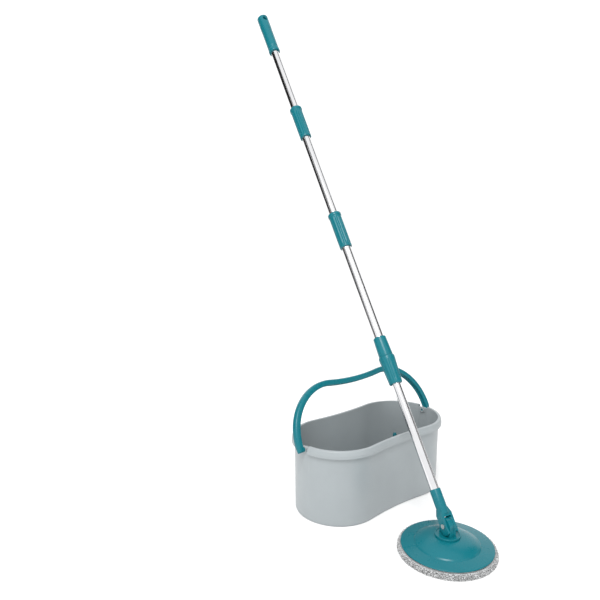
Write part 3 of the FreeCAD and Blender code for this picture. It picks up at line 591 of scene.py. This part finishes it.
def make_spindle():
    """The teal post in the far lobe and its collar, under the tip that the head spins on, which stays the imported
    part.
    """
    post = bmesh.new()
    add_lathe(post, rounded([
        (POST_BORE, POST_FOOT), (30.0, POST_FOOT, 0.4), (30.0, 11.0, 1.0), (19.0, 11.0, 1.5),
        (16.0, 15.5, 2.0), (10.0, POST_TOP, 0.8), (POST_BORE, POST_TOP),
    ]), SPINDLE)
    for index in range(6):
        spoke = SPINDLE @ Matrix.Rotation(TURN * (index + 0.5) / 6, 4, "Z")
        loops = []
        for reach, top in ((11.0, 62.0), (14.0, 44.0), (18.0, 26.0), (23.0, 16.5), (28.0, 11.2)):
            section = rounded([(-1.1, 10.4), (1.1, 10.4), (0.8, top, 0.7), (-0.8, top, 0.7)], 3)
            loops.append([spoke @ Vector((reach * MM, side * MM, height * MM)) for side, height in section])
        add_loops(post, loops)
    piece_for("spindle_base", "spindle_post", post)
    collar = bmesh.new()
    add_lathe(collar, rounded([
        (5.1, 98.05), (11.5, 98.05, 0.4), (11.5, 101.0, 0.8), (7.5, 105.0, 0.6), (5.1, 105.0),
    ]), SPINDLE)
    piece_for("spindle_collar", "spindle_bearing_collar", collar)


# ---------------------------------------------------------------- mop head

PLATE_RADIUS = 93.0
PLATE_WALL = 2.4
PLATE_TOP = 35.5
HINGE_HEIGHT = 58.0


def dome_arc(start, end, radius, steps):
    """Points on the plate's dome between two (radius, height) points, bulging upwards."""
    first, last = Vector(start), Vector(end)
    chord = last - first
    side = Vector((chord.y, -chord.x)).normalized()
    if side.y > 0:
        side = -side
    reach = math.sqrt(radius ** 2 - (chord.length / 2) ** 2)
    middle = (first + last) / 2 + side * reach
    out = []
    for step in range(steps + 1):
        point = first.lerp(last, step / steps) - middle
        out.append(tuple(middle + point.normalized() * radius))
    return out


def make_plate():
    """Teal plate: flat outer band, soft ring step and a smooth dome up to the hub."""
    edge = PLATE_RADIUS
    inside = PLATE_TOP - PLATE_WALL
    dome = dome_arc((62.0, 23.6), (28.0, PLATE_TOP), 83.0, 14)
    profile = rounded([
        (edge - PLATE_WALL, 14.2), (edge, 14.2, 0.5), (edge, 17.0, 1.4), (66.5, 20.3, 1.6),
        (64.2, 22.8, 1.5), dome[1],
    ], 5)[:-1]
    profile += [Vector(point) for point in dome[1:]]
    profile += [Vector((0, PLATE_TOP)), Vector((0, inside))]
    profile += rounded([
        (28.0, inside, 2.0), (61.5, 20.6, 2.0), (63.5, 18.0, 1.5), (edge - PLATE_WALL, 15.4),
    ], 4)
    mesh = bmesh.new()
    add_lathe(mesh, profile, HEAD, 192)
    piece_for("mop_plate", "mop_plate_shell", mesh, 40)


def make_hub():
    """Round flange with a low rim, the upright knuckle of the tilt hinge and its side webs."""
    mesh = bmesh.new()
    add_lathe(mesh, rounded([
        (0, 35.55), (26.0, 35.55, 0.3), (26.0, 40.2, 0.9), (23.4, 40.2, 0.6), (22.4, 38.9, 0.6), (0, 38.9),
    ], 4), HEAD, 128)
    half, soft = 15.5, 0.6
    crown = HINGE_HEIGHT + half
    side = rounded([(-half, 38.0), (half, 38.0), (half, crown, half - 0.05), (-half, crown, half - 0.05)], 16)
    middle = Vector((0, HINGE_HEIGHT))
    for start, end, inset in ((-8.2, -2.7, 0.0), (-2.7, 2.7, 1.0), (2.7, 8.2, 0.0)):
        loops = []
        for x, shrink in ((start, soft), (start + soft, 0.0), (end - soft, 0.0), (end, soft)):
            shape = [corner + (middle - corner).normalized() * (shrink + inset) for corner in side]
            loops.append([HEAD @ Vector((x * MM, point.x * MM, point.y * MM)) for point in shape])
        add_loops(mesh, loops)
    piece_for("hub", "hub_knuckle", mesh, 40)


PAD_BORE = 38.0
PAD_RADIUS = 99.0
UNDER_ROWS_APART = 3.1               # rows of strands under the pad, and the strands in a row
UNDER_TUFTS_APART = 3.7
RIM_ROWS = 6
RIM_TUFTS_APART = 2.9
PAD_TOP = 13.6
FLOOR_GAP = 0.3


def add_tuft(mesh, root, direction, length, radius, chance):
    """One short bent strand of pile: a five-sided bar with a rounded tip."""
    side = direction.orthogonal().normalized()
    side.rotate(Matrix.Rotation(chance.uniform(0, TURN), 3, direction))
    lean = side * chance.uniform(0.25, 0.9)
    other = direction.cross(side)
    rings = []
    for along, size in ((0.0, 0.9), (0.5, 1.0), (0.88, 0.8)):
        middle = root + (direction * along + lean * along * along) * length * MM
        rings.append([mesh.verts.new(middle + (side * math.cos(TURN * k / 5) + other * math.sin(TURN * k / 5))
                                     * radius * size * MM) for k in range(5)])
    tip = [mesh.verts.new(root + (direction + lean) * length * MM)]
    for first, second in zip(rings, rings[1:] + [tip]):
        join_loops(mesh, first, second)


def make_pad():
    """Round microfibre pad: a soft ring with a thick rolled rim, covered with short strands of pile."""
    chance = random.Random(7)
    mesh = bmesh.new()
    profile = rounded([
        (PAD_BORE + 1, 1.6, 1.0), (PAD_RADIUS - 4.5, 1.6, 3.0), (PAD_RADIUS - 2.0, 6.5, 3.0),
        (PAD_RADIUS - 3.6, 12.0, 1.6), (PLATE_RADIUS + 0.6, 12.0, 0.6), (PLATE_RADIUS + 0.4, 9.3, 0.4),
        (PAD_BORE + 1, 9.3, 1.0),
    ], 4)
    wobble = [chance.uniform(-0.4, 0.4) for _ in range(64)]

    def lumps(angle, radius, height):
        """Small uneven swellings round the pad's outer edge."""
        return wobble[int(angle / TURN * len(wobble)) % len(wobble)] if radius > PAD_RADIUS - 4 else 0.0

    add_lathe(mesh, profile, HEAD, 192, lumps)
    for row in range(int((PAD_RADIUS - 5 - PAD_BORE) / UNDER_ROWS_APART)):
        radius = PAD_BORE + 2 + row * UNDER_ROWS_APART
        count = int(TURN * radius / UNDER_TUFTS_APART)
        for index in range(count):
            angle = TURN * (index + chance.uniform(-0.3, 0.3)) / count
            outward = Vector((math.cos(angle), math.sin(angle), 0))
            root = HEAD @ (outward * (radius + chance.uniform(-0.8, 0.8)) * MM + Vector((0, 0, 3.2 * MM)))
            down = (HEAD.to_3x3() @ (outward * chance.uniform(-0.5, 0.5) + Vector((0, 0, -1)))).normalized()
            add_tuft(mesh, root, down, chance.uniform(2.0, 2.6), chance.uniform(1.1, 1.5), chance)
    for row in range(RIM_ROWS):
        share = row / (RIM_ROWS - 1)
        height = 2.2 + 9.6 * share
        radius = PAD_RADIUS - 4.6 + 2.4 * math.sin(math.pi * (0.25 + 0.6 * share))
        count = int(TURN * radius / RIM_TUFTS_APART)
        for index in range(count):
            angle = TURN * (index + chance.uniform(-0.35, 0.35)) / count
            outward = Vector((math.cos(angle), math.sin(angle), 0))
            root = HEAD @ (outward * radius * MM + Vector((0, 0, (height + chance.uniform(-0.8, 0.8)) * MM)))
            rise = 0.9 * (share - 0.45) + chance.uniform(-0.35, 0.35)
            out = (HEAD.to_3x3() @ (outward + Vector((0, 0, rise)))).normalized()
            add_tuft(mesh, root, out, chance.uniform(2.6, 3.9), chance.uniform(0.9, 1.35), chance)
    for vert in mesh.verts:
        vert.co.z = min(max(vert.co.z, FLOOR_GAP * MM), PAD_TOP * MM)
    pad = piece_for("microfibre_pad", "pad_pile", mesh, 70)


# ---------------------------------------------------------------- handle

LOWER_TUBE_RADIUS = 9.5
TUBE_RADIUS = 11.0
TUBE_WALL = 0.7
SLEEVE_BORE = TUBE_RADIUS + 0.05
RIBS_FROM = 12.5                     # surfaces inside this radius carry no ribs
GRIP_SOLID_END = 43.0                # the grip is solid from here to its end
HANG_HOLE_DOWN = 15.0                # from the grip's end to the hanging hole
HANG_HOLE_RADIUS = 5.5


def make_turned(cad_node, name, corners, segments=96, ribs=None, steps=5, sharp=40):
    """A turned piece of the handle that stands for one CAD node."""
    mesh = bmesh.new()
    add_lathe(mesh, rounded(corners, steps), HANDLE, segments, ribs)
    return piece_for(cad_node, name, mesh, sharp)


def height_range(cad_node):
    """Lowest and highest place of a CAD node along the handle, in mm."""
    back = HANDLE.inverted()
    heights = [(back @ vert.co).z / MM for vert in NODES[cad_node].data.vertices]
    return min(heights), max(heights)


def make_tubes():
    """Four bright chromed tubes with thin rolled ends."""
    for cad_node in ("lower_tube", "tube_3", "tube_2", "tube_1"):
        radius = LOWER_TUBE_RADIUS if cad_node == "lower_tube" else TUBE_RADIUS
        low, high = height_range(cad_node)
        bore = radius - TUBE_WALL
        corners = [(bore, low, 0.2), (radius, low, 0.3)]
        corners += stations(low, high, radius, radius, 24)
        corners += [(radius, high, 0.3), (bore, high, 0.2)]
        make_turned(cad_node, cad_node + "_chrome", corners, 128, steps=3)


def ribbed(low, high, count, depth):
    """Lengthwise grip ribs between two heights, faded out at both ends."""
    def extra(angle, radius, height):
        """How far the surface stands in or out at one place."""
        fade = max(0.0, min(1.0, (height - low) / 4.0, (high - height) / 4.0))
        wave = 0.5 + 0.5 * math.cos(count * angle)
        return -depth * fade * (1 - wave ** 0.6) if radius > RIBS_FROM else 0.0

    return extra


def stations(low, high, low_radius, high_radius, steps):
    """Evenly spaced points up a straight side, so that ribs have somewhere to fade."""
    return [(low_radius + (high_radius - low_radius) * step / steps, low + (high - low) * step / steps)
            for step in range(1, steps)]


def make_couplings():
    """The two screwed couplings: ribbed sleeves that widen to a collar at the top."""
    for cad_node in ("coupling_2", "coupling_1"):
        low, high = height_range(cad_node)
        corners = [(SLEEVE_BORE, low, 0.2), (14.6, low, 0.8), (14.9, low + 3, 0.6)]
        corners += stations(low + 3, high - 12, 14.9, 15.0, 22)
        corners += [(15.0, high - 12), (15.0, high - 9.0, 1.0), (16.4, high - 7.5, 0.8),
                    (16.4, high - 1.6, 1.2), (15.4, high, 0.6), (SLEEVE_BORE, high, 0.3)]
        make_turned(cad_node, cad_node + "_sleeve", corners, 240, ribbed(low + 4, high - 12, 12, 1.1), 4)


def make_lock():
    """Length lock: a plain sleeve above, and the collar that turns to tighten it below."""
    low, high = height_range("lock_sleeve")
    seam = height_range("lock_ring")[1] + 0.3
    make_turned("lock_sleeve", "lock_upper_sleeve", [
        (SLEEVE_BORE, low), (13.0, low), (13.0, seam), (16.2, seam, 0.5), (14.7, high - 2.2, 1.5),
        (13.8, high, 0.8), (SLEEVE_BORE, high, 0.3),
    ], 144)
    low, high = height_range("lock_ring")
    corners = [(9.85, low), (13.9, low, 0.5), (15.0, low + 1.8, 1.2)]
    corners += stations(low + 3, high - 12, 15.1, 17.9, 12)
    corners += [(18.2, high - 8.0, 2.0), (18.2, high - 1.6, 1.0), (17.2, high, 0.6), (13.35, high, 0.3),
                (13.35, low + 22), (10.5, low + 6), (9.85, low + 5)]
    make_turned("lock_ring", "lock_turn_collar", corners, 240, ribbed(low + 6, high - 12, 14, 0.8), 4)


def make_grip():
    """Slim moulded grip with a hanging hole through its rounded end and fine rings at its foot."""
    low, high = height_range("grip")
    inner_end = high - GRIP_SOLID_END
    corners = [(SLEEVE_BORE, low, 0.3), (14.8, low, 0.7), (15.4, low + 2, 0.8), (15.4, low + 8, 1.0)]
    for step in range(3):
        start = low + 11 + step * 3.4
        corners += [(14.7, start, 0.5), (14.3, start + 0.9, 0.4), (14.7, start + 1.8, 0.5)]
    corners += stations(low + 22, high - 45, 14.7, 15.0, 8)
    corners += [(15.35, high - 45, 8.0), (15.35, high - 3.5, 3.5), (10.4, high, 3.0), (0, high),
                (0, inner_end), (SLEEVE_BORE, inner_end)]
    grip = make_turned("grip", "hand_grip", corners, 128)
    hole = Matrix.Translation((0, 0, (high - HANG_HOLE_DOWN) * MM))
    across = HANDLE @ hole @ Matrix.Rotation(math.pi / 2, 4, "X")
    bore = bmesh.new()
    add_lathe(bore, rounded([
        (0, -18.0), (8.6, -18.0), (8.6, -15.0), (HANG_HOLE_RADIUS, -11.6, 1.5), (HANG_HOLE_RADIUS, 11.6, 1.5),
        (8.6, 15.0), (8.6, 18.0), (0, 18.0),
    ], 4), across, 64)
    cut(grip, [temporary(bore)])
    shade_smooth(grip.data, 35)


# ---------------------------------------------------------------- floor, light and camera

def studio_material(name, colour, rough):
    """Plain matt surface for the floor or a card."""
    material, tree, shader, place = new_material(name)
    tint = ramp(tree, noise(tree, place, 0.6, 2), 0.2, 0.8, scaled(colour, 0.985), colour)
    tree.links.new(tint, shader.inputs["Base Color"])
    shader.inputs["Roughness"].default_value = rough
    shader.inputs["Specular IOR Level"].default_value = 0.1
    return material


def make_floor():
    """A wide pale floor."""
    mesh = bmesh.new()
    bmesh.ops.create_grid(mesh, x_segments=24, y_segments=24, size=40)
    data = mesh_data("floor", mesh)
    data.materials.append(studio_material("floor_white", (0.88, 0.88, 0.88), 0.8))
    floor = add_object("floor", data)


def area_light(name, place, target, size, power):
    """A soft rectangular light aimed at a point."""
    data = bpy.data.lights.new(name, "AREA")
    data.shape = "RECTANGLE"
    data.size, data.size_y = size
    data.energy = power
    lamp = add_object(name, data)
    lamp.location = place
    lamp.rotation_euler = (Vector(target) - Vector(place)).to_track_quat("-Z", "Y").to_euler()


def make_card(name, corners, shade):
    """A dark card for the chrome to reflect, which the camera, the floor and the shadows don't see."""
    data = bpy.data.meshes.new(name)
    data.from_pydata(corners, [], [(0, 1, 2, 3)])
    data.materials.append(studio_material(name + "_matt", (shade, shade, shade), 0.9))
    card = add_object(name, data)
    card.visible_camera = False
    card.visible_diffuse = False
    card.visible_shadow = False
    return card


def upright(start, end, low, high):
    """Corners of an upright card between two floor points."""
    return [(*start, low), (*end, low), (*end, high), (*start, high)]


def make_light():
    """A bright even room, one large soft key from above the front left, and four dark cards round the set.

    card_right also takes a little light off the bucket's right side.
    """
    world = bpy.data.worlds.new("studio")
    bpy.context.scene.world = world
    world.use_nodes = True
    background = world.node_tree.nodes["Background"]
    background.inputs["Color"].default_value = (1, 1, 1, 1)
    background.inputs["Strength"].default_value = 1.22
    area_light("key", (-1.75, -1.35, 3.0), (0, -0.15, 0.2), (1.3, 1.3), 84)
    make_card("card_left", upright((-0.77, 0.68), (-0.35, 2.54), 0.0, 2.3), 0.02)
    make_card("card_near_left", upright((-0.93, 0.42), (-0.80, 0.60), 0.0, 2.3), 0.06)
    side = make_card("card_right", upright((1.10, -0.75), (1.75, -0.25), 0.05, 2.2), 0.06)
    side.visible_diffuse = True
    along = HANDLE.to_3x3() @ Vector((0, 0, 1))
    middle = HINGE + Vector((0.68, -0.10, 1.20))
    width = along.cross(HINGE + along * 1.1 - middle).normalized() * 0.17
    low, high = middle - along * 1.3, middle + along * 1.5
    make_card("card_strip", [low - width, low + width, high + width, high - width], 0.02)


CAMERA_PLACE = Vector((-0.9951, -0.9573, 0.7005))
CAMERA_HEADING = (0.632, 0.775)
CAMERA_PITCH = 0.163


def make_camera():
    """The camera in front and to the left of the bucket, a little above its rim."""
    data = bpy.data.cameras.new("camera")
    data.lens = 36
    data.sensor_width = 36
    camera = add_object("camera", data)
    heading = Vector((*CAMERA_HEADING, 0)).normalized() * math.cos(CAMERA_PITCH)
    look = heading - Vector((0, 0, math.sin(CAMERA_PITCH)))
    camera.location = CAMERA_PLACE
    camera.rotation_euler = look.to_track_quat("-Z", "Y").to_euler()
    bpy.context.scene.camera = camera


make_camera()
dress_cad_nodes()
make_bucket()
make_spindle_seat()
make_bail()
make_spindle()
make_plate()
make_hub()
softened("yoke", "fork_and_socket", 1.6)
make_pad()
make_tubes()
make_couplings()
make_lock()
make_grip()
make_floor()
make_light()
bpy.context.scene.view_settings.view_transform = "Standard"
